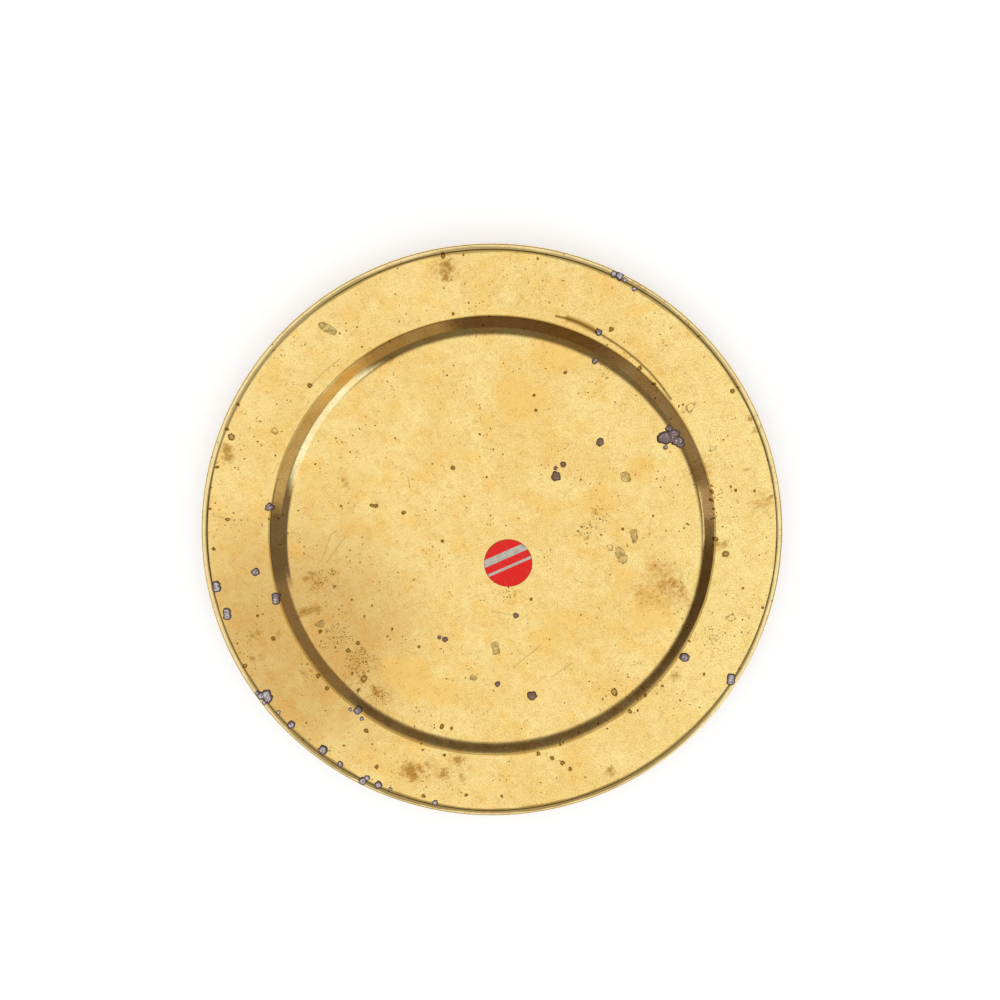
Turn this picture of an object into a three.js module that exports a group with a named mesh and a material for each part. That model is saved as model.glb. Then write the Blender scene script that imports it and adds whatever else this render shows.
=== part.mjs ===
// A charger plate: spun brass with a sunken well, a wide rim and a wired edge, and a round paper label.
// Millimetres, +Z up. The origin is the centre of the underside, where the plate stands on the table.
import * as THREE from "three";

// Plate, measured on the sheet
const PLATE_DIAMETER = 330; // over the wired edge
const SHEET = 0.8; // thickness of the brass
const FLOOR_DIAMETER = 210; // flat floor of the well, to the start of the cove
const WELL_DEPTH = 15; // from the floor up to the inner end of the rim
const WALL_SLOPE = 48; // degrees above the table
const COVE_RADIUS = 23; // floor to wall, to the middle of the sheet
const SHOULDER_RADIUS = 9; // wall to rim, to the middle of the sheet
const RIM_SLOPE = 4; // degrees, rising outwards

// Wired edge
const WIRE_DIAMETER = 2;
const WIRE_CLEARANCE = 0.15; // all round, between the wire and the sheet rolled over it
const CREASE_RADIUS = 1; // rim to roll, to the middle of the sheet
const CREASE_TURN = 55; // degrees that the sheet kicks up before it rolls over the wire
const SEAM_GAP = 0.3; // between the end of the roll and the underside of the rim

// Label, stuck off centre on the floor of the well
const LABEL_DIAMETER = 29;
const LABEL_X = 9;
const LABEL_Y = -13.9;
const PAPER = 0.12;
const GUM = 0.05;
const GUM_MARGIN = 0.4; // bare paper at the edge, outside the gum

// Fineness of the facets
const ROUND_STEPS = 72; // round the plate and the wire
const LABEL_STEPS = 48; // round the label
const WIRE_SIDES = 12;
const BEND_STEP = 8; // degrees, in the well's two bends
const ROLL_STEP = 22; // degrees, in the small bends of the edge

const radians = THREE.MathUtils.degToRad;

// The middle line of a bent sheet, drawn outwards in the r-z plane as straights and bends.
// Each station holds its place and the heading of the sheet there, in radians above level.
class SheetLine {
  constructor(r, z) {
    this.stations = [{ r, z, heading: 0 }];
  }

  get end() {
    return this.stations[this.stations.length - 1];
  }

  straight(length) {
    const { r, z, heading } = this.end;
    this.stations.push({
      r: r + length * Math.cos(heading),
      z: z + length * Math.sin(heading),
      heading,
    });
    return this;
  }

  // A positive turn bends the sheet upwards, a negative one downwards.
  bend(radius, turn, step) {
    const { r, z, heading } = this.end;
    const side = Math.sign(turn);
    const centreR = r - side * radius * Math.sin(heading);
    const centreZ = z + side * radius * Math.cos(heading);
    const steps = Math.ceil(Math.abs(turn) / step);
    for (let i = 1; i <= steps; i++) {
      const angle = heading + (turn * i) / steps;
      this.stations.push({
        r: centreR + side * radius * Math.sin(angle),
        z: centreZ - side * radius * Math.cos(angle),
        heading: angle,
      });
    }
    return this;
  }

  // One face of the sheet, a signed distance above the middle line.
  face(offset) {
    return this.stations.map(
      ({ r, z, heading }) =>
        new THREE.Vector2(Math.max(0, r - offset * Math.sin(heading)), z + offset * Math.cos(heading)),
    );
  }

  // The closed section: out along the lower face, back along the upper one.
  section(thickness) {
    return [...this.face(-thickness / 2), ...this.face(thickness / 2).reverse()];
  }
}

// A solid of revolution about +Z from a section in the r-z plane.
function turned(section, steps) {
  return new THREE.LatheGeometry(section, steps).rotateX(Math.PI / 2);
}

function piece(name, geometry, material) {
  const mesh = new THREE.Mesh(geometry, material);
  mesh.name = name;
  return mesh;
}

// The wired edge, worked out from the wire outwards, in a frame that lies along the rim.
function wiredEdge() {
  const crease = radians(CREASE_TURN);
  const rollRadius = WIRE_DIAMETER / 2 + WIRE_CLEARANCE + SHEET / 2;
  const along = (CREASE_RADIUS + rollRadius) * Math.sin(crease);
  const above = CREASE_RADIUS * (1 - Math.cos(crease)) - rollRadius * Math.cos(crease);
  const slope = radians(RIM_SLOPE);
  // The roll ends where its outer corner comes within the seam gap of the rim's underside.
  const cornerRise = -above - SHEET / 2 - SEAM_GAP;
  const endRise = Math.asin(cornerRise / (rollRadius + SHEET / 2));
  return {
    crease,
    rollRadius,
    rollTurn: -(crease + radians(270) + endRise),
    // The wire's centre, from the outer end of the flat rim
    wireOut: along * Math.cos(slope) - above * Math.sin(slope),
    wireUp: along * Math.sin(slope) + above * Math.cos(slope),
    reach: rollRadius + SHEET / 2,
  };
}

// The middle line of the whole plate, from the axis to the end of the roll.
function plateLine(edge) {
  const wall = radians(WALL_SLOPE);
  const rim = radians(RIM_SLOPE);
  const shoulderRise = SHOULDER_RADIUS * (Math.cos(rim) - Math.cos(wall));
  // The cove takes no more than the height that the shoulder leaves it.
  const coveRadius = Math.min(COVE_RADIUS, (WELL_DEPTH - shoulderRise) / (1 - Math.cos(wall)));
  const wallRise = WELL_DEPTH - shoulderRise - coveRadius * (1 - Math.cos(wall));

  const line = new SheetLine(0, SHEET / 2)
    .straight(FLOOR_DIAMETER / 2)
    .bend(coveRadius, wall, radians(BEND_STEP))
    .straight(wallRise / Math.sin(wall))
    .bend(SHOULDER_RADIUS, rim - wall, radians(BEND_STEP));
  const rimOut = PLATE_DIAMETER / 2 - edge.reach - edge.wireOut - line.end.r;
  line.straight(rimOut / Math.cos(rim));
  const wire = { r: line.end.r + edge.wireOut, z: line.end.z + edge.wireUp };
  line.bend(CREASE_RADIUS, edge.crease, radians(ROLL_STEP));
  line.bend(edge.rollRadius, edge.rollTurn, radians(ROLL_STEP));
  return { line, wire };
}

// The section of the wire, a circle that closes on itself.
function wireSection(centre) {
  const radius = WIRE_DIAMETER / 2;
  return new THREE.EllipseCurve(centre.r, centre.z, radius, radius).getPoints(WIRE_SIDES);
}

// A flat disc standing on z = 0
function disc(diameter, thickness) {
  const section = [
    new THREE.Vector2(0, 0),
    new THREE.Vector2(diameter / 2, 0),
    new THREE.Vector2(diameter / 2, thickness),
    new THREE.Vector2(0, thickness),
  ];
  return turned(section, LABEL_STEPS);
}

const brass = new THREE.MeshStandardMaterial({ color: 0xe3bb66, metalness: 1, roughness: 0.25 });
const steel = new THREE.MeshStandardMaterial({ color: 0x9a9a98, metalness: 1, roughness: 0.45 });
const print = new THREE.MeshStandardMaterial({ color: 0xd8362c, metalness: 0, roughness: 0.6 });
const adhesive = new THREE.MeshStandardMaterial({ color: 0xd9c9a0, metalness: 0, roughness: 0.5 });

const { line, wire } = plateLine(wiredEdge());
const plate = new THREE.Group();
plate.add(piece("plate_body", turned(line.section(SHEET), ROUND_STEPS), brass));
plate.add(piece("edge_wire", turned(wireSection(wire), ROUND_STEPS), steel));

const label = new THREE.Group();
label.position.set(LABEL_X, LABEL_Y, SHEET);
label.add(piece("label_gum", disc(LABEL_DIAMETER - 2 * GUM_MARGIN, GUM), adhesive));
const paper = piece("label_paper", disc(LABEL_DIAMETER, PAPER), print);
paper.position.z = GUM;
label.add(paper);
plate.add(label);

export default plate;
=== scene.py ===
"""Looks of a charger plate: aged spun brass with a wired edge and a round paper label.

Blender works in metres. The sheet's sizes and the marks on it are in millimetres, as on a drawing.
"""

import math
from functools import reduce
from typing import NamedTuple

import bpy
from mathutils import Matrix, Vector, noise


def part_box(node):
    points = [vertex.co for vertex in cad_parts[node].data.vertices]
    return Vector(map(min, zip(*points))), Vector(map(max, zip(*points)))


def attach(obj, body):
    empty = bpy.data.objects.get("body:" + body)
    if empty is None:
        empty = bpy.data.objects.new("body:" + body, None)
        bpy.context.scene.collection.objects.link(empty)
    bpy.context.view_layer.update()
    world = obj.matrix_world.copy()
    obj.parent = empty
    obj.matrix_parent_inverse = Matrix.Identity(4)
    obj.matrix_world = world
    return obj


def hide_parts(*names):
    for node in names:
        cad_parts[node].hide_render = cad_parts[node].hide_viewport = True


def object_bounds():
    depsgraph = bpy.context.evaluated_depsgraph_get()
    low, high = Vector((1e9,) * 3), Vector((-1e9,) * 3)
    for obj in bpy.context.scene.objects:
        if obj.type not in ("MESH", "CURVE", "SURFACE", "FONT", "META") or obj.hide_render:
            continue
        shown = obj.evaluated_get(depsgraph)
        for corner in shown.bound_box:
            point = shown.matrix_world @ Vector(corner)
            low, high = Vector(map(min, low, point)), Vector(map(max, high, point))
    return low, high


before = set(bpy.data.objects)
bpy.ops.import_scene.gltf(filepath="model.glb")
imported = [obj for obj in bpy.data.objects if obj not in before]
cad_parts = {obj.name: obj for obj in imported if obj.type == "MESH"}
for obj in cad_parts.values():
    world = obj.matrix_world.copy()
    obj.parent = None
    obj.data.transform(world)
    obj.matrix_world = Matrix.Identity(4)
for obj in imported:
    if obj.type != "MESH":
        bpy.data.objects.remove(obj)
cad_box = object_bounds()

MM = 0.001

# Sheet of the plate, in millimetres and degrees. The bends of the well follow the photograph more
# closely than the construction does, and stay within about 1 mm of it.
PLATE_DIAMETER = 330
SHEET = 0.8
FLOOR_DIAMETER = 203
WELL_DEPTH = 14.78
WALL_SLOPE = 48
COVE_RADIUS = 30
SHOULDER_RADIUS = 2.6
RIM_SLOPE = 4
WIRE_DIAMETER = 2
WIRE_CLEARANCE = 0.15
CREASE_RADIUS = 1
CREASE_TURN = 55
SEAM_GAP = 0.3

# Fineness of the plate's mesh: steps round it and along each stretch of the section, the share of those
# steps on the underside, and the width in millimetres of the rim's inner stretch
ROUND_STEPS = 384
FLOOR_STEPS = 24
COVE_STEPS = 26
WALL_STEPS = 4
SHOULDER_STEPS = 14
INNER_RIM_STEPS = 20
OUTER_RIM_STEPS = 14
CREASE_STEPS = 6
ROLL_STEPS = 32
UNDERSIDE_SHARE = 0.5
INNER_RIM = 8

# Wear of the sheet, in millimetres: waves, how far they take to fade out, and the buckle
FLOOR_WAVE = 0.08
FLOOR_FADE = 10
RIM_WAVE = 0.2
RIM_FADE = 6
WAVE_LENGTH = 70
BUCKLE_DEPTH = 0.6
BUCKLE_WIDTH = 0.9

# Camera of the photograph: pixels of a 1000 x 1000 picture, millimetres of sensor, metres and degrees
PICTURE = 1000
FOCAL_PIXELS = 620
SENSOR = 36
EYE = Vector((0.0011, 0.0696, 0.36423))
TILT = 7.128
TURN = -0.466
# Rounds in which a line of sight finds the height of the face that it meets
SIGHT_ROUNDS = 12

# Marks on the brass, listed as pixels of the photograph, under their radius in millimetres
CRUST_PIXELS = {
    1.3: [
        (361.8, 719), (625, 280), (390.3, 789), (278.5, 712.3), (350.3, 709.4), (264, 703), (257, 693),
        (634, 289), (555.5, 468.3), (439.5, 637.5), (665.5, 447.5),
    ],
    1.8: [
        (595, 361), (563.2, 464.6), (497.5, 684), (516, 615.7), (367, 778), (340.2, 764), (435.3, 802.5),
        (445, 639.5), (614, 274), (668.8, 428.5), (680.5, 445), (598.8, 332),
    ],
    2.4: [
        (276, 596.5), (276, 600.5), (227, 612), (227.5, 616), (216.5, 585), (217, 588.5), (255.5, 572),
        (731, 677), (730.5, 681), (357.8, 710.6), (291.4, 724.6), (378.6, 784.5), (269.5, 507),
        (261, 696), (362.4, 781.3), (620, 275.5), (600, 442), (671, 439), (533, 696.5),
    ],
    2.9: [
        (266.5, 694), (268, 698), (323, 750), (556, 476.3), (685, 657.8), (531.5, 695.5), (673.5, 434),
        (677.5, 441),
    ],
    4.0: [(664, 438)],
}
PIT_PIXELS = {
    0.7: [
        (678.7, 406.4), (683, 404.4), (432.5, 463.9), (315, 464), (350, 452), (341, 506), (335, 586.7),
        (351.8, 599.7), (372, 606), (364.5, 616), (392, 629), (387, 636.4), (582, 527), (587, 544),
        (637.6, 710.3), (689.3, 641), (607.4, 728.8), (730.5, 486.8), (344, 745.6), (421.4, 743.7),
        (423, 749.5), (684, 528), (688, 524), (712, 486), (712.5, 493), (713, 501), (713.5, 509),
        (714, 518), (601, 535), (578, 531), (600, 519), (653, 516),
    ],
    1.0: [
        (531, 599.2), (442.3, 541.3), (419, 647), (320.5, 631.3), (358.1, 690.3), (466.3, 795),
        (444.2, 755), (735.6, 490.6), (754.6, 491.2), (763, 607.7), (622.8, 529.2), (654.2, 384),
        (213.6, 548.8), (451.7, 728.4), (662.3, 685.8), (565.3, 372.5), (535.7, 410.4), (533.9, 395.6),
        (501.8, 796), (217, 466.9), (210, 509), (238, 404), (227, 429), (704, 674), (645.3, 695.3),
        (453, 314), (711, 491), (711, 500),
    ],
    1.4: [
        (273.3, 638.7), (318, 675.7), (327.3, 688.2), (366.2, 730.7), (423.6, 796), (372, 505.3),
        (376, 506), (310, 385.6), (453, 467.7), (403.7, 512.7), (348, 650.4), (358, 643),
        (538.5, 753.7), (552, 758), (562.6, 763), (570.2, 769), (442, 726.5), (245.2, 666),
        (611.5, 329.2), (227.3, 519.6), (630, 711.7), (732.6, 391.2), (376.3, 766.8), (443, 255.5),
        (715.3, 539), (639.8, 368.2),
    ],
    2.0: [(614.4, 692.1), (231.5, 437), (725.8, 554), (364, 678.5)],
}
RING_PIXELS = {
    1.4: [(275.2, 430.6), (712.2, 448.3), (611, 547), (333.5, 572), (335, 586.8), (362, 652)],
    2.1: [(690.3, 407.8), (731, 618)],
    2.9: [(626, 476.8)],
}
OLIVE_PIXELS = {
    1.6: [(322, 325.5)],
    2.2: [
        (634, 533), (635, 539), (623, 559), (495, 645), (496, 651), (473.6, 678), (320, 624), (327, 328),
        (332, 330.5),
    ],
    3.0: [(619, 553), (626, 476.8)],
}
STAIN_PIXELS = {
    6.5: [
        (413, 771), (440, 773), (459, 762), (380, 695), (700, 470), (446, 270), (760, 505), (318, 585),
        (356, 668), (650, 597), (681, 598), (656, 569), (640, 592), (662, 602),
    ],
    11.0: [(665, 584)],
}
SCUFF_PIXELS = {
    1.6: [
        (252, 636), (258, 632), (279, 634), (262, 657), (272, 638), (296, 640), (303, 674), (312, 672),
        (587, 538), (595, 512), (582, 534), (745, 470), (321.5, 327),
    ],
    2.4: [
        (251, 659), (672, 583), (681, 588), (344, 480), (346, 486), (462, 777), (427, 764.5), (373, 689),
        (636, 287), (643, 292), (378, 693), (771, 497), (752, 418), (756, 430), (390, 361), (361, 681),
        (311, 574), (318, 583), (306, 578),
    ],
    3.2: [
        (459, 760), (416, 778), (675.5, 676), (610, 772), (444, 774), (420, 768), (718, 544.5), (724, 544.5),
        (302, 612), (309, 611), (317, 609),
    ],
    4.0: [(227, 450), (228, 456), (446, 266), (446, 275), (414, 775)],
    5.0: [(409, 770)],
}
FLUSH_PIXELS = {
    4.0: [
        (304, 471), (315, 521), (300, 546), (389, 478), (643, 357), (638, 311), (690, 334), (347, 375),
        (516, 518), (572.5, 626), (573, 638), (414, 478), (425, 478),
    ],
    9.0: [(442, 691), (640, 470), (545, 640), (600, 500), (395, 668)],
    14.0: [(413, 677), (520, 400), (650, 610), (560, 350)],
}
CLUSTER_PIXELS = {
    4.0: [(512, 594), (506, 597), (716, 495), (717, 515), (332, 572)],
    6.0: [(380, 697), (587, 528), (714, 634), (320, 580), (600, 515)],
    9.0: [(335, 637), (359, 662)],
}
# Dull patina at the left over a wide radius, with painted shade there
PATINA_AND_SHADE_PIXELS = {65.0: [(294, 643)]}
# Scratches, and the long buckle beside the well, as pixels along them
SCRATCH_PIXELS = [
    [(311.5, 384), (326, 370), (340, 359)],
    [(227, 520), (220, 516.5), (213, 516)],
    [(515, 615.5), (492, 611)],
    [(407.5, 476), (410, 487)],
    [(573.5, 578), (579, 582)],
    [(449, 592), (453.5, 597)],
    [(589.5, 507.5), (595, 509), (595.5, 515)],
    [(552, 677), (572, 663)],
    [(513, 668), (541, 645)],
    [(249, 631), (258, 640)],
    [(258, 630), (248, 641)],
    [(298, 669), (308, 678)],
    [(322, 560), (331, 534), (337, 531)],
    [(327, 562), (345, 537)],
    [(299, 613), (309, 609), (322, 607.5)],
    [(301, 616), (314, 611)],
]
BUCKLE_PIXELS = [
    (556, 316), (568, 318.5), (579, 322.5), (589, 327.5), (599, 333), (612, 341), (625, 350), (638, 360.5),
    (650, 372), (661, 385), (671, 399),
]

# Label print, in degrees and millimetres: each stripe's distance from the centre and width, and how soft
# its sides are
STRIPE_TILT = 24
STRIPES = [(5.2, 4.4), (-2.2, 1.6)]
STRIPE_SOFTNESS = 0.15


class SheetLine:
    """The middle line of a bent sheet in the r-z plane: stations of radius, height and heading."""

    def __init__(self, r, z, fineness):
        self.stations = [(r, z, 0.0)]
        self.fineness = fineness
        self.ends = []

    def shares(self, steps):
        """Even shares of a stretch, up to its end."""
        count = math.ceil(steps * self.fineness)
        return [i / count for i in range(1, count + 1)]

    def straight(self, length, steps):
        r, z, heading = self.stations[-1]
        for share in self.shares(steps):
            along = length * share
            self.stations.append((r + along * math.cos(heading), z + along * math.sin(heading), heading))
        self.ends.append(len(self.stations) - 1)

    def bend(self, radius, turn, steps):
        """A positive turn bends the sheet upwards, a negative one downwards."""
        r, z, heading = self.stations[-1]
        reach = math.copysign(radius, turn)
        centre_r = r - reach * math.sin(heading)
        centre_z = z + reach * math.cos(heading)
        for share in self.shares(steps):
            angle = heading + turn * share
            place = (centre_r + reach * math.sin(angle), centre_z - reach * math.cos(angle))
            self.stations.append((*place, angle))
        self.ends.append(len(self.stations) - 1)

    def face(self, offset):
        """One face of the sheet, a signed distance above the middle line."""
        return [
            (max(0.0, r - offset * math.sin(heading)), z + offset * math.cos(heading))
            for r, z, heading in self.stations
        ]


def plate_line(fineness):
    """The middle line of the whole plate, from the axis to the end of the roll round the wire."""
    wall = math.radians(WALL_SLOPE)
    rim = math.radians(RIM_SLOPE)
    crease = math.radians(CREASE_TURN)
    roll = WIRE_DIAMETER / 2 + WIRE_CLEARANCE + SHEET / 2
    along = (CREASE_RADIUS + roll) * math.sin(crease)
    above = CREASE_RADIUS * (1 - math.cos(crease)) - roll * math.cos(crease)
    end_rise = math.asin((-above - SHEET / 2 - SEAM_GAP) / (roll + SHEET / 2))
    wire_out = along * math.cos(rim) - above * math.sin(rim)
    shoulder_rise = SHOULDER_RADIUS * (math.cos(rim) - math.cos(wall))
    wall_rise = WELL_DEPTH - shoulder_rise - COVE_RADIUS * (1 - math.cos(wall))

    line = SheetLine(0, SHEET / 2, fineness)
    line.straight(FLOOR_DIAMETER / 2, FLOOR_STEPS)
    line.bend(COVE_RADIUS, wall, COVE_STEPS)
    line.straight(wall_rise / math.sin(wall), WALL_STEPS)
    line.bend(SHOULDER_RADIUS, rim - wall, SHOULDER_STEPS)
    rim_out = PLATE_DIAMETER / 2 - roll - SHEET / 2 - wire_out - line.stations[-1][0]
    line.straight(INNER_RIM, INNER_RIM_STEPS)
    line.straight(rim_out / math.cos(rim) - INNER_RIM, OUTER_RIM_STEPS)
    line.bend(CREASE_RADIUS, crease, CREASE_STEPS)
    line.bend(roll, -(crease + math.radians(270) + end_rise), ROLL_STEPS)
    return line


# The section's two faces, the outermost station of the upper one, and the radii where its stretches end
LINE = plate_line(1)
UPPER = LINE.face(SHEET / 2)
LOWER = plate_line(UNDERSIDE_SHARE).face(-SHEET / 2)
OUTERMOST = max(range(len(UPPER)), key=lambda i: UPPER[i][0])
FLOOR_END, _, WALL_END, SHOULDER_END, _, RIM_END, CREASE_END, _ = [UPPER[i][0] for i in LINE.ends]


def face_height(r):
    """Height of the upper face at a radius."""
    for (r0, z0), (r1, z1) in zip(UPPER[:OUTERMOST], UPPER[1 : OUTERMOST + 1]):
        if r <= r1:
            return z0 + (z1 - z0) * (r - r0) / (r1 - r0)
    return UPPER[OUTERMOST][1]


def camera_matrix():
    """Place and turn of the photograph's camera, which looks down."""
    turned =Matrix.Rotation(-math.radians(TILT), 4, "X") @ Matrix.Rotation(math.radians(TURN), 4, "Y")
    return Matrix.Translation(EYE) @ turned


def on_plate(pixel):
    """The point of the upper face that shows at a pixel of the photograph, seen along the axis."""
    half = PICTURE / 2
    ray = camera_matrix().to_3x3() @ Vector((pixel[0] - half, half - pixel[1], -FOCAL_PIXELS))
    eye = EYE / MM
    height = SHEET
    for _ in range(SIGHT_ROUNDS):
        point = eye + ray * ((height - eye.z) / ray.z)
        height = face_height(point.xy.length)
    return Vector((point.x, point.y, 0))


# The middle of a noise, and the span that most of it lies in
NOISE_MIDDLE = 0.5
NOISE_SPAN = (0.3, 0.7)


class Edge(NamedTuple):
    """A soft edge: the value where a mark begins, the value where it is full, and its strength there."""

    none: float
    full: float
    most: float = 1.0


class Graph:
    """A material's or world's node tree. Most calls add a node and return its output."""

    def __init__(self, owner):
        owner.use_nodes = True
        self.tree = owner.node_tree
        self.tree.nodes.clear()

    def node(self, kind, **settings):
        made = self.tree.nodes.new(kind)
        for name, value in settings.items():
            setattr(made, name, value)
        return made

    def feed(self, socket, value):
        """Links an output to a socket, or sets the socket's own value."""
        if isinstance(value, bpy.types.NodeSocket):
            self.tree.links.new(value, socket)
        elif socket.type == "RGBA" and len(value) == 3:
            socket.default_value = (*value, 1)
        else:
            socket.default_value = value

    def math(self, operation, *values):
        made = self.node("ShaderNodeMath", operation=operation)
        for socket, value in zip(made.inputs, values):
            self.feed(socket, value)
        return made.outputs[0]

    def folded(self, operation, values, *settings):
        """Values brought together by an operation, one after another."""
        return reduce(lambda first, second: self.math(operation, first, second, *settings), values)

    def vector(self, operation, *values):
        made = self.node("ShaderNodeVectorMath", operation=operation)
        for socket, value in zip(made.inputs, values):
            self.feed(socket, value)
        single = operation in ("DISTANCE", "DOT_PRODUCT", "LENGTH")
        return made.outputs["Value" if single else "Vector"]

    def scaled(self, vector, factor):
        made = self.node("ShaderNodeVectorMath", operation="SCALE")
        self.feed(made.inputs[0], vector)
        self.feed(made.inputs["Scale"], factor)
        return made.outputs[0]

    def noise(self, vector, size, detail=3, rough=0.5, output="Fac"):
        """Noise over X and Y whose lumps are about this many millimetres."""
        made = self.node("ShaderNodeTexNoise", noise_dimensions="2D")
        self.feed(made.inputs["Vector"], vector)
        made.inputs["Scale"].default_value = 1 / size
        made.inputs["Detail"].default_value = detail
        made.inputs["Roughness"].default_value = rough
        return made.outputs[output]

    def ramp(self, value, low, high, bottom=0.0, top=1.0):
        """A smooth step from bottom at low to top at high."""
        made = self.node("ShaderNodeMapRange", interpolation_type="SMOOTHSTEP")
        for socket, given in zip(made.inputs, (value, low, high, bottom, top)):
            self.feed(socket, given)
        return made.outputs[0]

    def within(self, value, edge):
        """How strong a mark with this soft edge is."""
        return self.ramp(value, edge.none, edge.full, 0, edge.most)

    def spread(self, texture, least, most):
        """A noise drawn out so that it runs from least to most."""
        return self.ramp(texture, *NOISE_SPAN, least, most)

    def mix(self, factor, first, second):
        made = self.node("ShaderNodeMix", data_type="RGBA")
        self.feed(made.inputs["Factor"], factor)
        colours = [socket for socket in made.inputs if socket.type == "RGBA"]
        self.feed(colours[0], first)
        self.feed(colours[1], second)
        return next(socket for socket in made.outputs if socket.type == "RGBA")

    def shade(self, colour, texture, dark, light):
        """The colour dimmed and lifted by a noise."""
        return self.scaled(colour, self.spread(texture, dark, light))

    def tinted(self, colour, texture, dark, light):
        """The colour drawn towards a dark and a light tint by a noise."""
        return self.vector("MULTIPLY", colour, self.mix(self.spread(texture, 0, 1), dark, light))

    def stretched(self, vector, angle, length, width):
        """Places in a frame that is turned by an angle and drawn out along it."""
        made = self.node("ShaderNodeMapping", vector_type="TEXTURE")
        self.feed(made.inputs["Vector"], vector)
        made.inputs["Rotation"].default_value = (0, 0, math.radians(angle))
        made.inputs["Scale"].default_value = (length, width, 1)
        return made.outputs[0]

    def millimetres(self):
        """The place on the object in millimetres."""
        place = self.node("ShaderNodeTexCoord").outputs["Object"]
        return self.scaled(place, 1 / MM)

    def flat(self, place):
        """The place without its height."""
        return self.vector("MULTIPLY", place, (1, 1, 0))

    def bump(self, height, distance):
        """Normals from a height of 0 to 1 that stands for this many millimetres."""
        made = self.node("ShaderNodeBump")
        made.inputs["Distance"].default_value = distance * MM
        self.feed(made.inputs["Height"], height)
        return made.outputs[0]

    def surface(self, **values):
        """A principled shader with these values, on the material's output."""
        shader = self.node("ShaderNodeBsdfPrincipled")
        for name, value in values.items():
            title = name.replace("_", " ").title().replace("Ior", "IOR")
            self.feed(shader.inputs[title], value)
        output = self.node("ShaderNodeOutputMaterial")
        self.feed(output.inputs["Surface"], shader.outputs[0])


def edge_field(graph, place, marks, blend=0.0):
    """Distance in millimetres from the edge of the nearest mark, negative inside it."""

    def edges():
        for radius, pixels in marks.items():
            distances = (graph.vector("DISTANCE", place, on_plate(pixel)) for pixel in pixels)
            yield graph.math("SUBTRACT", graph.folded("SMOOTH_MIN", distances, blend), radius)

    return graph.folded("SMOOTH_MIN", edges(), blend)


def line_field(graph, place, routes):
    """Distance in millimetres from the nearest of some broken lines."""

    def distances():
        for route in routes:
            points = [on_plate(pixel) for pixel in route]
            for start, end in zip(points, points[1:]):
                span = end - start
                offset = graph.vector("SUBTRACT", place, start)
                along = graph.vector("DOT_PRODUCT", offset, span / span.length_squared)
                held = graph.math("MINIMUM", graph.math("MAXIMUM", along, 0), 1)
                yield graph.vector("DISTANCE", offset, graph.scaled(span, held))

    return graph.folded("MINIMUM", distances())


def warped(graph, place, size, shift):
    """The place moved to and fro by noise, so that round marks get ragged edges."""
    colour = graph.noise(place, size, output="Color")
    wander = graph.vector("SUBTRACT", colour, (NOISE_MIDDLE, NOISE_MIDDLE, NOISE_MIDDLE))
    return graph.vector("ADD", place, graph.vector("MULTIPLY", wander, (2 * shift, 2 * shift, 0)))


# Specks: the smallest radius as a share of the largest, and the strength of the faintest and the darkest
SPECK_SMALLEST = 0.4
SPECK_STRENGTHS = (0.45, 0.95)


def specks(graph, place, cell, radius, share):
    """Tiny dots, one at most in each cell, in this share of the cells."""
    made = graph.node("ShaderNodeTexVoronoi", voronoi_dimensions="2D")
    graph.feed(made.inputs["Vector"], place)
    made.inputs["Scale"].default_value = 1 / cell
    split = graph.node("ShaderNodeSeparateColor")
    graph.feed(split.inputs[0], made.outputs["Color"])
    chosen = graph.math("LESS_THAN", split.outputs["Red"], share)
    size = graph.ramp(split.outputs["Green"], 0, 1, SPECK_SMALLEST * radius / cell, radius / cell)
    dot = graph.math("LESS_THAN", made.outputs["Distance"], size)
    strength = graph.ramp(split.outputs["Blue"], 0, 1, *SPECK_STRENGTHS)
    return graph.math("MULTIPLY", dot, graph.math("MULTIPLY", chosen, strength))


# Colours of the brass, of what has settled on it, and of painted shade and painted reflections. Sizes and
# places below are in millimetres.
GOLD = (0.915, 0.645, 0.225)
PALE_GOLD = (0.95, 0.705, 0.27)
LEMON = (0.965, 0.765, 0.30)
FLUSH = (0.93, 0.59, 0.16)
WARM_TINT = (0.93, 0.89, 0.765)
PALE_TINT = (1.055, 1.09, 1.235)
# Pale gold on the roll of the wired edge: a painted reflection
BEAD_REFLECTION = (0.93, 0.74, 0.38)
# Dulls the brass at the left: patina and painted shade
PATINA_AND_SHADE = (0.77, 0.69, 0.63)
STAIN = (0.57, 0.27, 0.05)
# Dark brown of scuffs, and of painted shade along the buckle
SCUFF_AND_SHADE = (0.38, 0.17, 0.015)
OLIVE = (0.36, 0.25, 0.085)
# Dark brown of dirt and outlines, and of painted shade in the bends and along the buckle
DIRT_AND_SHADE = (0.18, 0.105, 0.015)
PIT = (0.19, 0.088, 0.001)
PIT_MIDDLE = (0.46, 0.30, 0.10)
# Painted shade in the crease inside the wired edge
CREASE_SHADE = (0.34, 0.25, 0.085)
# Painted shade along the bend where the wall meets the rim
SHOULDER_SHADE = (0.36, 0.20, 0.025)

# Tone: the wide drift, patches with their colour and size, and the edges of the lemon, dull and bead parts
DRIFT_SIZE = 40
DRIFT_EDGE = Edge(0.35, 0.65)
TONE_PATCHES = [(LEMON, 21, Edge(0.48, 0.72, 0.6)), (FLUSH, 14, Edge(0.48, 0.72, 0.5))]
# Lemon towards the right: a painted brighter reflection
RIGHT_REFLECTION_EDGE = Edge(80, 125, 0.5)
PATINA_AND_SHADE_EDGE = Edge(35, -40)
# The roll of the wired edge, where a painted pale reflection lies
BEAD_REFLECTION_EDGE = Edge(CREASE_END - 0.4, CREASE_END + 0.6, 0.8)
# Mottle and grain: sizes and weights, their middle, and how lively they are from the left to the right
MOTTLE = [(4.5, 0.4), (1.8, 0.4)]
GRAIN_SIZE = 0.8
GRAIN_WEIGHT = 1.4
TEXTURE_MIDDLE = 1.1
LIVELY_WAY = (1, -0.4, 0)
LIVELY_PLACES = (-90, 60)
LIVELY_SHARES = (0.5, 1.35)


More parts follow.
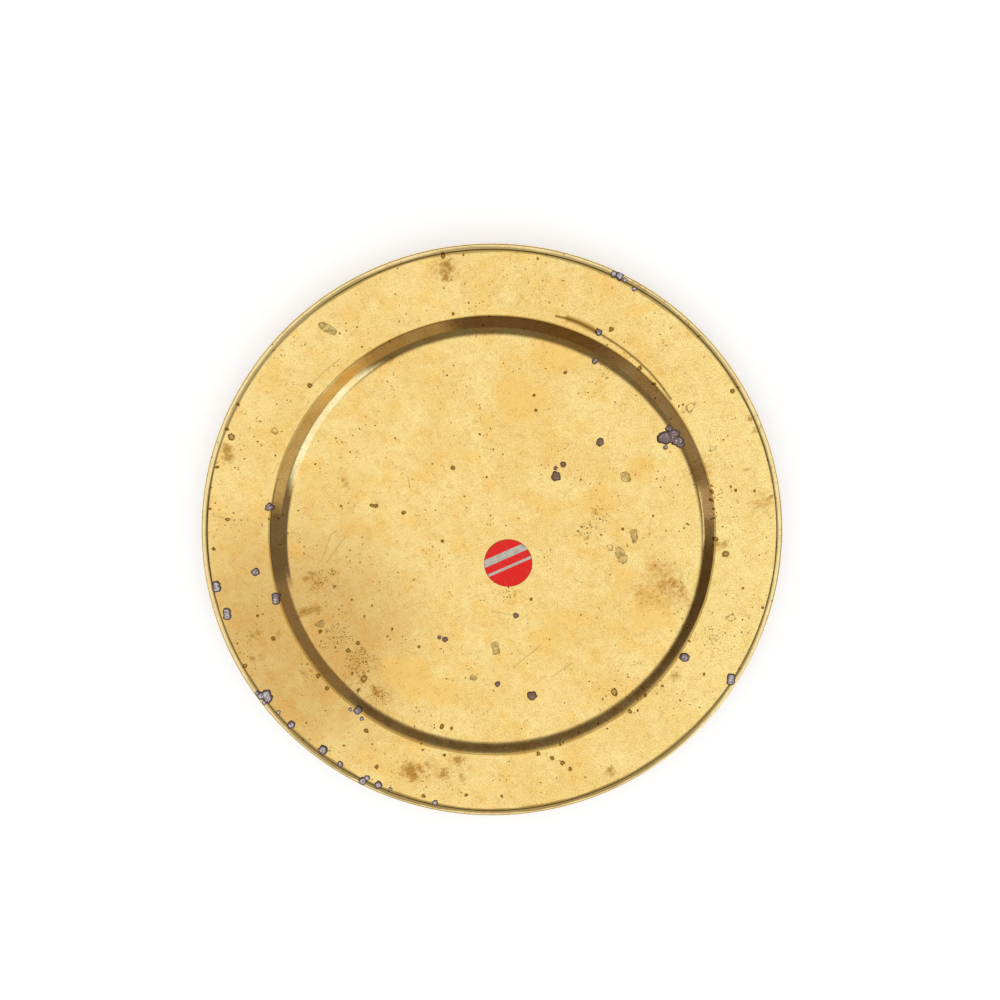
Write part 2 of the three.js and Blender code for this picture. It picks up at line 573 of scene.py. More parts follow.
def brass_tone(graph, place, drifting, radius):
    """Gold drifting between pale, lemon and orange; a painted lemon reflection at the right, patina and
    painted shade at the left, a painted pale reflection on the bead; a mottle and a grain.
    """
    drift = graph.noise(place, DRIFT_SIZE)
    colour = graph.mix(graph.within(drift, DRIFT_EDGE), GOLD, PALE_GOLD)
    for tone, size, edge in TONE_PATCHES:
        patch = graph.noise(drifting, size, detail=2)
        colour = graph.mix(graph.within(patch, edge), colour, tone)
    right = graph.vector("DOT_PRODUCT", place, (1, 0, 0))
    # Painted brighter reflection: lemon towards the right
    colour = graph.mix(graph.within(right, RIGHT_REFLECTION_EDGE), colour, LEMON)
    # Patina and painted shade dull the left
    patina_and_shade = graph.within(edge_field(graph, place, PATINA_AND_SHADE_PIXELS), PATINA_AND_SHADE_EDGE)
    colour = graph.mix(patina_and_shade, colour, graph.vector("MULTIPLY", colour, PATINA_AND_SHADE))

    texture = 0
    for size, weight in MOTTLE:
        texture = graph.math("MULTIPLY_ADD", graph.noise(drifting, size, detail=2), weight, texture)
    grain = graph.noise(place, GRAIN_SIZE, detail=1)
    texture = graph.math("MULTIPLY_ADD", grain, GRAIN_WEIGHT, texture)
    lively = graph.ramp(graph.vector("DOT_PRODUCT", place, LIVELY_WAY), *LIVELY_PLACES, *LIVELY_SHARES)
    centred = graph.math("SUBTRACT", texture, TEXTURE_MIDDLE)
    texture = graph.math("MULTIPLY_ADD", centred, lively, NOISE_MIDDLE)
    colour = graph.tinted(colour, texture, WARM_TINT, PALE_TINT)
    # A painted pale reflection on the roll of the wired edge
    return graph.mix(graph.within(radius, BEAD_REFLECTION_EDGE), colour, BEAD_REFLECTION)


# Tarnish: edges in millimetres outside a mark, some of them moved by blots, and blends between marks
FLUSH_EDGE = Edge(3, -4, 0.6)
BLOT_ANGLE = 35
BLOT_STRETCH = 1.4
BLOT_SIZE = 2
STAIN_BLOTS = 30
STAIN_BLEND = 6
STAIN_EDGE = Edge(19, 1, 0.85)
SCUFF_BLOTS = 9
SCUFF_EDGE = Edge(5.5, 1, 0.75)
CROOKED_SIZE = 6
CROOKED_SHIFT = 2.2
UNEVEN_SIZE = 2.5
OLIVE_BLEND = 2
OLIVE_EDGE = Edge(0.4, -0.4)
OLIVE_SHARES = (0.3, 0.9)
OUTLINE_EDGE = Edge(0.6, 0.1)
OUTLINE_SPAN = (0.35, 0.65)
OUTLINE_SHARES = (0.35, 0.8)


def tarnish(graph, colour, place, drifting):
    """Orange flushes, brown clouds, dark scuffs and olive stains with an outline."""
    flush = edge_field(graph, drifting, FLUSH_PIXELS)
    colour = graph.mix(graph.within(flush, FLUSH_EDGE), colour, FLUSH)
    slanted = graph.stretched(place, BLOT_ANGLE, BLOT_STRETCH, 1)
    blots = graph.noise(slanted, BLOT_SIZE, detail=4, rough=0.75)
    cloud = edge_field(graph, drifting, STAIN_PIXELS, blend=STAIN_BLEND)
    stain = graph.math("MULTIPLY_ADD", blots, STAIN_BLOTS, cloud)
    colour = graph.mix(graph.within(stain, STAIN_EDGE), colour, STAIN)
    crooked = warped(graph, place, CROOKED_SIZE, CROOKED_SHIFT)
    scuff = graph.math("MULTIPLY_ADD", blots, SCUFF_BLOTS, edge_field(graph, crooked, SCUFF_PIXELS))
    colour = graph.mix(graph.within(scuff, SCUFF_EDGE), colour, SCUFF_AND_SHADE)

    uneven = graph.noise(place, UNEVEN_SIZE, rough=0.6)
    olive = edge_field(graph, crooked, OLIVE_PIXELS, blend=OLIVE_BLEND)
    fill = graph.math("MULTIPLY", graph.within(olive, OLIVE_EDGE), graph.spread(uneven, *OLIVE_SHARES))
    colour = graph.mix(fill, colour, OLIVE)
    rings = graph.math("ABSOLUTE", edge_field(graph, crooked, RING_PIXELS))
    outline = graph.math("MINIMUM", graph.math("ABSOLUTE", olive), rings)
    strength = graph.ramp(uneven, *OUTLINE_SPAN, *OUTLINE_SHARES)
    dark = graph.math("MULTIPLY", graph.within(outline, OUTLINE_EDGE), strength)
    return graph.mix(dark, colour, DIRT_AND_SHADE)


# Painted shade in the bends: radii, widths, and edges as shares of a width. On the flank it is darker and
# wider at the near side, and wider at the far side too.
BEND_SHADE_SIZE = 35
FLANK_RADIUS = RIM_END + 0.7
FLANK_DARK_EDGE = Edge(60, 150, 0.8)
FLANK_PLACES = (40, 140)
FLANK_WIDTHS = (0.7, 1.6)
FLANK_SHARES = (0.7, 1.3)
FLANK_EDGE = Edge(1, 0.5, 0.8)
SHOULDER_SHADE_RADIUS = WALL_END + 0.5
SHOULDER_SHADE_SPAN = (0.35, 0.65)
SHOULDER_SHADE_WIDTHS = (0.9, 0.5)
SHOULDER_SHADE_EDGE = Edge(1, 0.3, 0.75)


def bend_shade(graph, colour, place, radius):
    """Olive painted shade on the inner flank of the wired edge, and a fine line of painted shade where wall
    meets rim.
    """
    uneven = graph.noise(place, BEND_SHADE_SIZE, detail=4, rough=0.65)
    # Painted shade on the flank inside the wired edge, darker at the near side
    away = graph.math("ABSOLUTE", graph.math("SUBTRACT", radius, FLANK_RADIUS))
    down = graph.vector("DOT_PRODUCT", place, (0, -1, 0))
    tone = graph.mix(graph.within(down, FLANK_DARK_EDGE), CREASE_SHADE, DIRT_AND_SHADE)
    width = graph.ramp(graph.math("ABSOLUTE", down), *FLANK_PLACES, *FLANK_WIDTHS)
    width = graph.math("MULTIPLY", width, graph.spread(uneven, *FLANK_SHARES))
    colour = graph.mix(graph.within(graph.math("DIVIDE", away, width), FLANK_EDGE), colour, tone)
    # A fine line of painted shade where the wall meets the rim
    away = graph.math("ABSOLUTE", graph.math("SUBTRACT", radius, SHOULDER_SHADE_RADIUS))
    width = graph.ramp(uneven, *SHOULDER_SHADE_SPAN, *SHOULDER_SHADE_WIDTHS)
    return graph.mix(graph.within(graph.math("DIVIDE", away, width), SHOULDER_SHADE_EDGE), colour, SHOULDER_SHADE)


# Wipe marks and hairlines: angle in degrees, length and width
WIPES = [(18, 9, 1.4), (130, 10, 1.2)]
WIPE_SHADES = (0.98, 1.02)
HAIRS = [(32, 14, 0.5), (58, 18, 0.45), (104, 16, 0.5), (155, 13, 0.45)]
HAIR_EDGE = Edge(0.66, 0.74)
HAIR_PATCH_SIZE = 22
HAIR_PATCH_EDGE = Edge(0.45, 0.65)
HAIR_STRENGTH = 0.16
VEIN_SIZE = 3.2
VEIN_EDGE = Edge(0.06, 0.01, 0.3)
VEIN_PATCH_SIZE = 6
VEIN_PATCH_EDGE = Edge(0.48, 0.6)
# Lines that stand out, with their edges and colours: scratches, painted shade along the buckle's darkest
# stretch, painted shade along the buckle
DRAWN_LINES = [
    (SCRATCH_PIXELS, Edge(0.5, 0.1, 0.35), DIRT_AND_SHADE),
    ([BUCKLE_PIXELS[1:5]], Edge(2.6, 0.5, 0.85), SCUFF_AND_SHADE),
    ([BUCKLE_PIXELS], Edge(1, 0.2, 0.8), DIRT_AND_SHADE),
]


def scratches(graph, colour, place):
    """Soft wipe marks, hairlines that run several ways, fine veins, scratches that stand out, and painted
    shade along the buckle.
    """
    for wipe in WIPES:
        smear = graph.noise(graph.stretched(place, *wipe), 1, detail=1)
        colour = graph.shade(colour, smear, *WIPE_SHADES)
    patches = graph.within(graph.noise(place, HAIR_PATCH_SIZE, detail=2), HAIR_PATCH_EDGE)
    grains = (graph.noise(graph.stretched(place, *hair), 1, detail=1) for hair in HAIRS)
    hairs = graph.folded("MAXIMUM", (graph.within(grain, HAIR_EDGE) for grain in grains))
    hairs = graph.math("MULTIPLY", graph.math("MULTIPLY", hairs, patches), HAIR_STRENGTH)
    colour = graph.mix(hairs, colour, STAIN)
    patches = graph.within(graph.noise(place, VEIN_PATCH_SIZE, detail=1), VEIN_PATCH_EDGE)
    level = graph.math("SUBTRACT", graph.noise(place, VEIN_SIZE, detail=2, rough=0.6), NOISE_MIDDLE)
    vein = graph.within(graph.math("ABSOLUTE", level), VEIN_EDGE)
    colour = graph.mix(graph.math("MULTIPLY", vein, patches), colour, STAIN)
    for routes, edge, tone in DRAWN_LINES:
        colour = graph.mix(graph.within(line_field(graph, place, routes), edge), colour, tone)
    return colour


# Specks: where they crowd, in what share of their cells, and the sizes of cells with the largest radii.
# Fine and large specks lie in fewer cells than small ones.
CROWD_SIZE = 26
CROWD_SPAN = (0.45, 0.75)
CROWD_SHARES = (0.01, 0.2)
CLUSTER_EDGE = Edge(2, -3, 0.75)
FINE_SPECKS = (1.2, 0.38)
SMALL_SPECKS = (1.9, 0.52)
LARGE_SPECKS = (8, 0.8)
FEWER = 0.8
PIT_EDGE = Edge(0.15, -0.2, 0.92)
PIT_MIDDLE_EDGE = Edge(-0.8, -1.2)


def dots(graph, colour, place, ragged, drifting):
    """Specks that crowd in places, and pits with a dark edge and a paler middle."""
    crowd = graph.ramp(graph.noise(place, CROWD_SIZE, detail=2), *CROWD_SPAN, *CROWD_SHARES)
    cluster = graph.within(edge_field(graph, drifting, CLUSTER_PIXELS), CLUSTER_EDGE)
    share = graph.math("MAXIMUM", crowd, cluster)
    fine = specks(graph, place, *FINE_SPECKS, graph.math("MULTIPLY", cluster, FEWER))
    small = specks(graph, ragged, *SMALL_SPECKS, share)
    large = specks(graph, ragged, *LARGE_SPECKS, graph.math("MULTIPLY", share, FEWER))
    colour = graph.mix(graph.folded("MAXIMUM", (fine, small, large)), colour, PIT)
    pit = edge_field(graph, ragged, PIT_PIXELS)
    tone = graph.mix(graph.within(pit, PIT_MIDDLE_EDGE), PIT, PIT_MIDDLE)
    return graph.mix(graph.within(pit, PIT_EDGE), colour, tone)


# Polished face: size and shift of the warps that marks follow, roughness, and faint dimples
RAGGED_WARP = (2, 0.8)
DRIFTING_WARP = (9, 5)
POLISH_SIZE = 9
POLISH = (0.03, 0.08)
DIMPLE_SIZE = 3.5
DIMPLE_DEPTH = 0.012


def brass_face():
    """Polished brass, tarnished, scratched and pitted where the photograph shows it."""
    made = bpy.data.materials.new("aged_brass")
    graph = Graph(made)
    place = graph.flat(graph.millimetres())
    radius = graph.vector("LENGTH", place)
    ragged = warped(graph, place, *RAGGED_WARP)
    drifting = warped(graph, place, *DRIFTING_WARP)

    colour = brass_tone(graph, place, drifting, radius)
    colour = tarnish(graph, colour, place, drifting)
    # Painted shade in the bends
    colour = bend_shade(graph, colour, place, radius)
    colour = scratches(graph, colour, place)
    colour = dots(graph, colour, place, ragged, drifting)

    polish = graph.spread(graph.noise(place, POLISH_SIZE, rough=0.6), *POLISH)
    dimples = graph.bump(graph.noise(place, DIMPLE_SIZE, detail=2), DIMPLE_DEPTH)
    graph.surface(base_color=colour, roughness=polish, metallic=1, normal=dimples)
    return made


# Corrosion: colours, and edges by the radius on the plate or by how near a lump's middle a place is
CORE = "core"
CRUST_RIM = (0.06, 0.034, 0.03)
CRUST_BODY = (0.22, 0.15, 0.15)
CRUST_BROWN = (0.23, 0.12, 0.07)
CRUST_BLOOM = (0.66, 0.61, 0.63)
CRUST_GRAIN = 1.3
BROWN_EDGE = Edge(100, 111)
BLOOM_RADII = (90, 160)
BLOOM_LEVELS = (0.6, 0.4)
BLOOM_EDGE = Edge(0, 0.12)
BLOOM_CORE_EDGE = Edge(0.25, 0.6)
CRUST_RIM_EDGE = Edge(0.12, 0.4)
CRUST_ROUGHNESS = (0.4, 0.75)
CRUST_RELIEF = 0.12


def crust():
    """Corrosion with a dark edge, brown on the floor and grey beyond it, paler towards the plate's edge."""
    made = bpy.data.materials.new("corrosion")
    graph = Graph(made)
    place = graph.millimetres()
    core = graph.node("ShaderNodeAttribute", attribute_name=CORE).outputs["Fac"]
    grain = graph.noise(place, CRUST_GRAIN, detail=4, rough=0.65)
    radius = graph.vector("LENGTH", graph.flat(place))
    level = graph.ramp(radius, *BLOOM_RADII, *BLOOM_LEVELS)
    bloom = graph.within(graph.math("SUBTRACT", grain, level), BLOOM_EDGE)
    bloom = graph.math("MULTIPLY", bloom, graph.within(core, BLOOM_CORE_EDGE))
    body = graph.mix(graph.within(radius, BROWN_EDGE), CRUST_BROWN, CRUST_BODY)
    body = graph.mix(bloom, body, CRUST_BLOOM)
    colour = graph.mix(graph.within(core, CRUST_RIM_EDGE), CRUST_RIM, body)
    rough = graph.spread(grain, *CRUST_ROUGHNESS)
    graph.surface(base_color=colour, roughness=rough, normal=graph.bump(grain, CRUST_RELIEF))
    return made


# Underside: brass and tarnish, rings of the lathe, and spots with their warp, cells and strength
UNDER_BRASS = (0.74, 0.52, 0.19)
UNDER_TARNISH = (0.46, 0.31, 0.115)
UNDER_CLOUDS = 30
UNDER_EDGE = Edge(0.35, 0.68)
UNDER_ROUGHNESS = (0.3, 0.46)
LATHE_FINENESS = 1.6
LATHE_DEPTH = 0.03
SPOT_WARP = (2.2, 0.9)
SPOT_SPECKS = (6, 0.7)
SPOT_SPAN = (0.4, 0.7)
SPOT_SHARES = (0.05, 0.5)
SPOT_STRENGTH = 0.8


def brass_underside():
    """Unpolished brass with the fine rings of the spinning lathe and brown tarnish."""
    made = bpy.data.materials.new("tarnished_brass")
    graph = Graph(made)
    place = graph.flat(graph.millimetres())
    radius = graph.vector("LENGTH", place)
    lathe = graph.node("ShaderNodeTexNoise", noise_dimensions="1D")
    graph.feed(lathe.inputs["W"], graph.math("MULTIPLY", radius, LATHE_FINENESS))
    lathe.inputs["Detail"].default_value = 2
    cloud = graph.noise(place, UNDER_CLOUDS, detail=5, rough=0.65)
    colour = graph.mix(graph.within(cloud, UNDER_EDGE), UNDER_BRASS, UNDER_TARNISH)
    share = graph.ramp(cloud, *SPOT_SPAN, *SPOT_SHARES)
    spots = specks(graph, warped(graph, place, *SPOT_WARP), *SPOT_SPECKS, share)
    colour = graph.mix(graph.math("MULTIPLY", spots, SPOT_STRENGTH), colour, PIT)
    rings = graph.bump(lathe.outputs["Fac"], LATHE_DEPTH)
    rough = graph.spread(cloud, *UNDER_ROUGHNESS)
    graph.surface(base_color=colour, roughness=rough, metallic=1, normal=rings)
    return made


WIRE_GREY = (0.36, 0.35, 0.33)
WIRE_RUST = (0.16, 0.075, 0.035)
RUST_SIZE = 4
RUST_EDGE = Edge(0.5, 0.7)
RUST_RELIEF = 0.04
WIRE_ROUGHNESS = (0.4, 0.8)
WIRE_METAL = 0.8


def wire_steel():
    """Drawn steel wire with a brown bloom of rust."""
    made = bpy.data.materials.new("wire_steel")
    graph = Graph(made)
    place = graph.millimetres()
    rust = graph.within(graph.noise(place, RUST_SIZE, detail=5, rough=0.7), RUST_EDGE)
    colour = graph.mix(rust, WIRE_GREY, WIRE_RUST)
    rough = graph.ramp(rust, 0, 1, *WIRE_ROUGHNESS)
    relief = graph.bump(rust, RUST_RELIEF)
    graph.surface(base_color=colour, roughness=rough, metallic=WIRE_METAL, normal=relief)
    return made


GUM_PALE = (0.66, 0.55, 0.31)
GUM_BROWN = (0.45, 0.31, 0.13)
GUM_CLOUDS = 2
GUM_EDGE = Edge(0.35, 0.7)
GUM_RELIEF = 0.02
GUM_ROUGHNESS = (0.3, 0.55)


def label_gum():
    """A dried film of gum."""
    made = bpy.data.materials.new("label_gum")
    graph = Graph(made)
    age = graph.within(graph.noise(graph.millimetres(), GUM_CLOUDS, detail=4), GUM_EDGE)
    colour = graph.mix(age, GUM_PALE, GUM_BROWN)
    rough = graph.ramp(age, 0, 1, *GUM_ROUGHNESS)
    graph.surface(base_color=colour, roughness=rough, normal=graph.bump(age, GUM_RELIEF))
    return made


INK = (0.86, 0.012, 0.008)
INK_WORN = (0.74, 0.05, 0.035)
INK_EDGE = (0.30, 0.05, 0.03)
INK_SHADES = (0.9, 1.1)
INK_WEAR = Edge(0.5, 0.72)
PAPER = (0.60, 0.57, 0.49)
PAPER_WORN = (0.46, 0.43, 0.36)
PAPER_SHADES = (0.88, 1.1)
PAPER_WEAR = Edge(0.4, 0.65)
FIBRE_SIZE = 0.7
FIBRE_RELIEF = 0.03
WEAR_SIZE = 3.5
WEAR_REACH = 2
RIM_WEAR = Edge(0.2, 1.2, 0.8)
LABEL_ROUGHNESS = (0.45, 0.6)
LABEL_SHEEN = 0.25


def label_print(centre, radius):
    """Red ink on paper with two pale stripes, worn and browned at the edge."""
    made = bpy.data.materials.new("label_print")
    graph = Graph(made)
    place = graph.vector("SUBTRACT", graph.millimetres(), centre)
    tilt = math.radians(STRIPE_TILT)
    across = graph.vector("DOT_PRODUCT", place, (-math.sin(tilt), math.cos(tilt), 0))

    def stripe(offset, width):
        away = graph.math("ABSOLUTE", graph.math("SUBTRACT", across, offset))
        return graph.ramp(away, width / 2 + STRIPE_SOFTNESS, width / 2 - STRIPE_SOFTNESS)

    bare = graph.folded("MAXIMUM", (stripe(*each) for each in STRIPES))
    fibre = graph.noise(place, FIBRE_SIZE, detail=4, rough=0.7)
    wear = graph.noise(place, WEAR_SIZE, detail=5, rough=0.75)
    ink = graph.mix(graph.within(wear, INK_WEAR), graph.shade(INK, fibre, *INK_SHADES), INK_WORN)
    paper = graph.mix(graph.within(wear, PAPER_WEAR), graph.shade(PAPER, fibre, *PAPER_SHADES), PAPER_WORN)
    colour = graph.mix(bare, ink, paper)
    from_middle = graph.vector("LENGTH", graph.flat(place))
    worn = graph.math("MULTIPLY_ADD", wear, WEAR_REACH, from_middle)
    browned = graph.ramp(worn, radius + RIM_WEAR.none, radius + RIM_WEAR.full, 0, RIM_WEAR.most)
    colour = graph.mix(browned, colour, INK_EDGE)
    rough = graph.spread(fibre, *LABEL_ROUGHNESS)
    relief = graph.bump(fibre, FIBRE_RELIEF)
    graph.surface(base_color=colour, roughness=rough, specular_ior_level=LABEL_SHEEN, normal=relief)
    return made


def distance_to_route(point, route):
    """Distance from a point to a broken line."""
    best = math.inf
    for start, end in zip(route, route[1:]):
        along = (point - start).dot(end - start) / (end - start).length_squared
        nearest = start.lerp(end, min(1, max(0, along)))
        best = min(best, (point - nearest).length)
    return best


def worn_rise(x, y, r, route):
    """How far the worn upper face stands above the true one, in millimetres."""
    wave = noise.noise(Vector((x, y, 0)) / WAVE_LENGTH)
    if r < FLOOR_END:
        fade = min(1, (FLOOR_END - r) / FLOOR_FADE)
        return -FLOOR_WAVE * fade * (0.5 + 0.5 * wave)
    if not WALL_END < r < RIM_END:
        return 0
    fade = max(0, min(1, (r - SHOULDER_END) / RIM_FADE, (RIM_END - r) / RIM_FADE))
    away = distance_to_route(Vector((x, y)), route)
    return RIM_WAVE * fade * wave - BUCKLE_DEPTH * math.exp(-((away / BUCKLE_WIDTH) ** 2))


def turned_rings(sections, steps, point):
    """Vertices and faces of a closed round body whose section starts and ends on its axis.

    The function point places a vertex from its radius, height, angle and number in the section.
    """
    vertices = [point(*sections[0], 0.0, 0)]
    faces = []
    rings = sections[1:-1]
    for index, (r, z) in enumerate(rings, 1):
        for step in range(steps):
            vertices.append(point(r, z, 2 * math.pi * step / steps, index))
    vertices.append(point(*sections[-1], 0.0, len(sections) - 1))
    last = len(vertices) - 1
    for step in range(steps):
        after = (step + 1) % steps
        faces.append((0, 1 + step, 1 + after))
        for index in range(len(rings) - 1):
            a = 1 + index * steps
            b = a + steps
            faces.append((a + step, b + step, b + after, a + after))
        a = last - steps
        faces.append((a + step, last, a + after))
    return vertices, faces


def mesh_object(name, vertices, faces):
    mesh = bpy.data.meshes.new(name)
    mesh.from_pydata(vertices, [], faces)
    mesh.validate()
    mesh.shade_smooth()
    made = bpy.data.objects.new(name, mesh)
    bpy.context.collection.objects.link(made)
    return made


def make_plate():
    """The sheet with its worn upper face, one material above and another below."""
    route = [on_plate(pixel).xy for pixel in BUCKLE_PIXELS]
    sections = UPPER + LOWER[::-1]

    def point(r, z, angle, index):
        x = r * math.cos(angle)
        y = r * math.sin(angle)
        if index < OUTERMOST:
            z += worn_rise(x, y, r, route)
        return Vector((x, y, z)) * MM

    vertices, faces = turned_rings(sections, ROUND_STEPS, point)
    plate = mesh_object("spun_plate", vertices, faces)
    plate.data.materials.append(brass_face())
    plate.data.materials.append(brass_underside())
    upper_vertices = 1 + OUTERMOST * ROUND_STEPS
    for polygon in plate.data.polygons:
        polygon.material_index = int(max(polygon.vertices) >= upper_vertices)
    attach(plate, "root")
    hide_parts("plate_body")


# Lumps of corrosion: sides, rings and their heights as shares of the radius, how far out they may reach,
# and the noises that make them ragged
CRUST_SIDES = 24
CRUST_SECTION = [
    (0, 0.3), (0.2, 0.29), (0.42, 0.26), (0.66, 0.21), (0.86, 0.13), (1, 0), (1, -0.08), (0, -0.08),
]
CRUST_REACH = 164.8
WOBBLE = 0.3
WOBBLE_REACH = 1.2
FINE_WOBBLE_REACH = 3
FINE_WOBBLE_SHARE = 0.4
KNOB_FINENESS = 1.1


def crust_lump(centre, radius, top):
    """One ragged lump that lies on the plate's upper face, and how near its middle each vertex is."""

    def point(share, rise, angle, _):
        aim = Vector((math.cos(angle), math.sin(angle), 0))
        wobble = noise.noise(centre + aim * WOBBLE_REACH)
        wobble += FINE_WOBBLE_SHARE * noise.noise(centre + aim * FINE_WOBBLE_REACH)
        spot = centre + aim * (radius * share * (1 + WOBBLE * wobble))
        spot.xy *= min(1, CRUST_REACH / spot.xy.length)
        if rise > 0:
            rise *= 1 + noise.noise(spot * KNOB_FINENESS)
        spot.z = min(face_height(spot.xy.length) + radius * rise, top)
        return spot * MM

    vertices, faces = turned_rings(CRUST_SECTION, CRUST_SIDES, point)
    cores = [1.0]
    for share, _ in CRUST_SECTION[1:-1]:
        cores += [1.0 - share] * CRUST_SIDES
    return vertices, faces, cores + [0.0]


def make_crusts():
    """Blisters of corrosion on the brass."""
    top = cad_box[1].z / MM
    vertices, faces, cores = [], [], []
    for radius, pixels in CRUST_PIXELS.items():
        for pixel in pixels:
            more_vertices, more_faces, more_cores = crust_lump(on_plate(pixel), radius, top)
            faces += [tuple(len(vertices) + i for i in face) for face in more_faces]
            vertices += more_vertices
            cores += more_cores
    crusts = mesh_object("corrosion_crusts", vertices, faces)
    crusts.data.attributes.new(CORE, "FLOAT", "POINT").data.foreach_set("value", cores)
    crusts.data.materials.append(crust())
    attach(crusts, "root")


# Label: rings on its top and underside as shares of its radius, rounding of its edge and depth of its
# waves as shares of its thickness, and the length of the waves in millimetres
LABEL_TOP_RINGS = (0, 0.2, 0.4, 0.6, 0.8, 0.94)
LABEL_UNDER_RING = 0.5
LABEL_ROUNDING = 0.3
LABEL_WAVE_DEPTH = 0.3
LABEL_WAVE_LENGTH = 4


def make_label():
    """A paper disc with a rounded edge and a slightly wavy top."""
    low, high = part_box("label_paper")
    centre = (low + high) / 2
    radius = (high.x - low.x) / 2
    thickness = high.z - low.z
    rounding = thickness * LABEL_ROUNDING
    top = [(radius * share, high.z) for share in LABEL_TOP_RINGS]
    edge = [(radius - rounding, high.z), (radius, high.z - rounding), (radius, low.z + rounding)]
    under = [(radius - rounding, low.z), (radius * LABEL_UNDER_RING, low.z), (0, low.z)]

    def point(r, z, angle, _):
        x = r * math.cos(angle)
        y = r * math.sin(angle)
        if z == high.z:
            wave = noise.noise(Vector((x, y, 0)) / (LABEL_WAVE_LENGTH * MM))
            z -= thickness * LABEL_WAVE_DEPTH * (0.5 + 0.5 * wave)
        return Vector((centre.x + x, centre.y + y, z))

    vertices, faces = turned_rings(top + edge + under, ROUND_STEPS, point)
    label = mesh_object("label", vertices, faces)
    label.data.materials.append(label_print(centre / MM, radius / MM))
    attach(label, "root")
    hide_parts("label_paper")


def dress_cad_nodes():
    """Materials of the pieces that keep their own solids."""
    for name, make in (("edge_wire", wire_steel), ("label_gum", label_gum)):
        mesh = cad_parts[name].data
        mesh.materials.clear()
        mesh.materials.append(make())


# Floor, in metres
FLOOR_SIZE = 60
FLOOR_GAP = 0.0002
FLOOR_COLOUR = (0.9, 0.9, 0.9)
FLOOR_ROUGHNESS = 0.9
FLOOR_GLOW = 0.27


def make_floor():
    """A pale floor, lifted to white where it is seen, that keeps the plate's shadow."""
    half = FLOOR_SIZE / 2
    corners = [(-half, -half), (half, -half), (half, half), (-half, half)]
    floor = mesh_object("floor", [(x, y, -FLOOR_GAP) for x, y in corners], [(0, 1, 2, 3)])
    paint = bpy.data.materials.new("floor_paint")
    graph = Graph(paint)
    path = graph.node("ShaderNodeLightPath").outputs
    rays = ("Is Camera Ray", "Is Glossy Ray", "Is Transmission Ray")
    seen = graph.folded("MAXIMUM", (path[ray] for ray in rays))
    graph.surface(
        base_color=FLOOR_COLOUR,
        roughness=FLOOR_ROUGHNESS,
        emission_color=(1, 1, 1),
        emission_strength=graph.math("MULTIPLY", seen, FLOOR_GLOW),
    )
    floor.data.materials.append(paint)


# Light overhead: how it is stretched along X and Y, and its soft edge in degrees from the zenith
SKY_STRETCH = (1, 1.3, 1)
SKY_BRIGHT_TO = 65
SKY_DARK_FROM = 73
SKY_TOP = (1.0, 0.995, 0.98)
SKY_SIDE = (0.19, 0.165, 0.14)
# Dark surroundings, up to a soft edge in degrees above a plane that is tipped up towards +Y
SHADE = (0.09, 0.06, 0.042)
SHADE_TIP = 10
SHADE_FULL_TO = 16
SHADE_NONE_FROM = 19.5
# Soft panels beside the plate, bright and dim: azimuth, elevation, half width, half height and tilt in
# degrees, and colour. The wall of the well mirrors what lies 3 to 23 degrees up.
PANEL_CORE = 0.6
PANELS = [
    (270, 4, 34, 7, 0, (0.135, 0.09, 0.062)),
    (219, 8, 32, 6, -8, (0.27, 0.22, 0.20)),
    (202, 12.5, 5, 4, -8, (0.45, 0.36, 0.38)),
    (18, 17, 26, 6, 9, (0.31, 0.26, 0.24)),
    (346, 21, 15, 12, 0, (0.20, 0.175, 0.17)),
    (290, 4.3, 14, 7, 5, (0.36, 0.28, 0.20)),
    (313, 4.5, 18, 7, 8, (0.70, 0.53, 0.32)),
    (326, 7, 17, 7, 8, (0.55, 0.46, 0.38)),
    (314, 19.5, 19, 9, 15, (1.1, 1.3, 1.9)),
    (198, 16, 9, 1.7, -10, (0.9, 0.85, 0.8)),
]


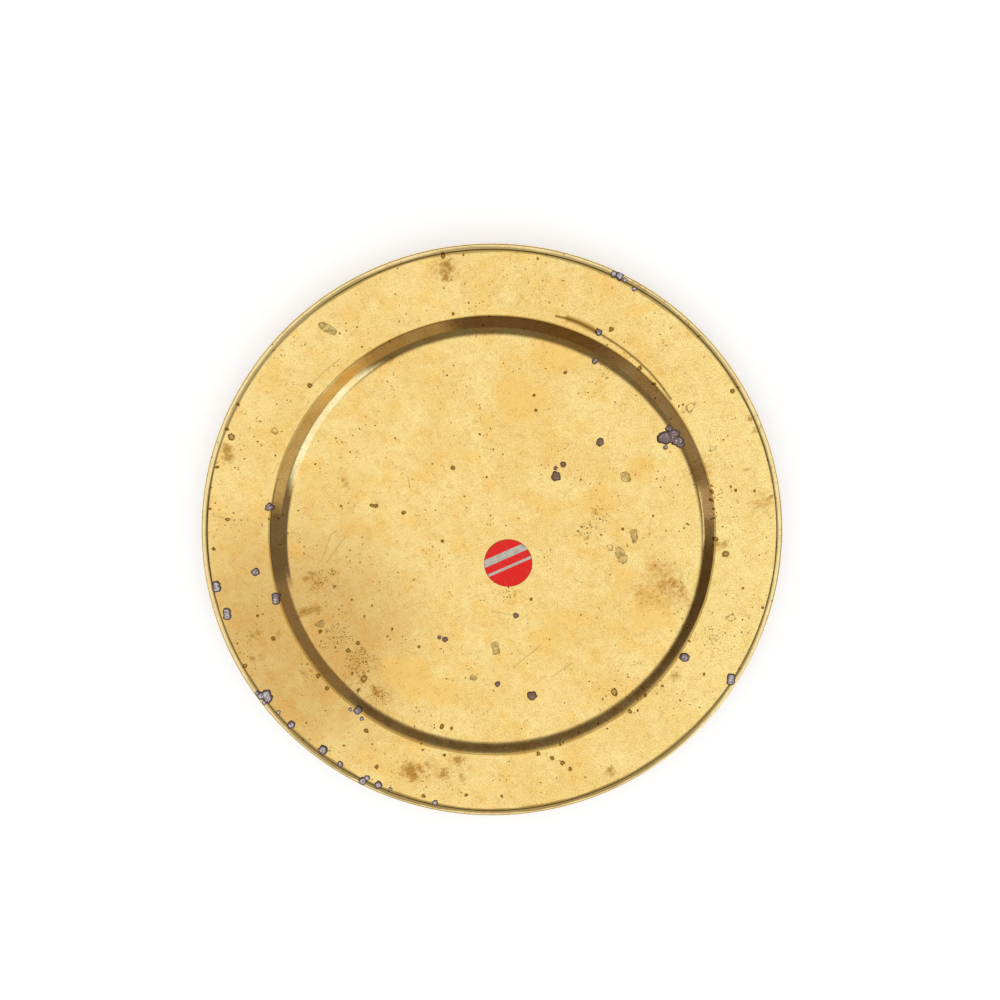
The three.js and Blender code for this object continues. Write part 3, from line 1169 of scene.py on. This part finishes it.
def panel(graph, direction, azimuth, elevation, half_width, half_height, tilt):
    """How far a direction lies within a soft rectangle."""
    facing = Matrix.Rotation(math.radians(azimuth), 3, "Z")
    facing @= Matrix.Rotation(-math.radians(elevation), 3, "Y")
    facing @= Matrix.Rotation(math.radians(tilt), 3, "X")
    ahead, across, above = facing.col
    inside = graph.math("GREATER_THAN", graph.vector("DOT_PRODUCT", direction, ahead), 0)
    for axis, half in ((across, half_width), (above, half_height)):
        off = graph.math("ABSOLUTE", graph.vector("DOT_PRODUCT", direction, axis))
        edge = math.sin(math.radians(half))
        inside = graph.math("MULTIPLY", inside, graph.ramp(off, edge, edge * PANEL_CORE))
    return inside


def make_world():
    """A soft overhead light with dim surroundings and soft panels."""
    world = bpy.data.worlds.new("studio")
    graph = Graph(world)
    direction = graph.node("ShaderNodeTexCoord").outputs["Generated"]
    tip = math.radians(SHADE_TIP)
    tipped = graph.vector("DOT_PRODUCT", direction, (0, -math.sin(tip), math.cos(tip)))
    full = math.sin(math.radians(SHADE_FULL_TO))
    none = math.sin(math.radians(SHADE_NONE_FROM))
    colour = graph.mix(graph.ramp(tipped, full, none), SHADE, SKY_SIDE)
    stretched = graph.vector("NORMALIZE", graph.vector("MULTIPLY", direction, SKY_STRETCH))
    low = math.cos(math.radians(SKY_DARK_FROM))
    high = math.cos(math.radians(SKY_BRIGHT_TO))
    overhead = graph.vector("DOT_PRODUCT", stretched, (0, 0, 1))
    colour = graph.mix(graph.ramp(overhead, low, high), colour, SKY_TOP)
    for *place, light in PANELS:
        colour = graph.mix(panel(graph, direction, *place), colour, light)
    background = graph.node("ShaderNodeBackground")
    graph.feed(background.inputs["Color"], colour)
    output = graph.node("ShaderNodeOutputWorld")
    graph.feed(output.inputs["Surface"], background.outputs[0])
    bpy.context.scene.world = world


def make_camera():
    data = bpy.data.cameras.new("camera")
    data.sensor_width = SENSOR
    data.lens = SENSOR * FOCAL_PIXELS / PICTURE
    camera = bpy.data.objects.new("camera", data)
    camera.matrix_world = camera_matrix()
    bpy.context.collection.objects.link(camera)
    bpy.context.scene.camera = camera


make_camera()
make_plate()
make_crusts()
make_label()
dress_cad_nodes()
make_floor()
make_world()
bpy.context.scene.view_settings.view_transform = "Standard"
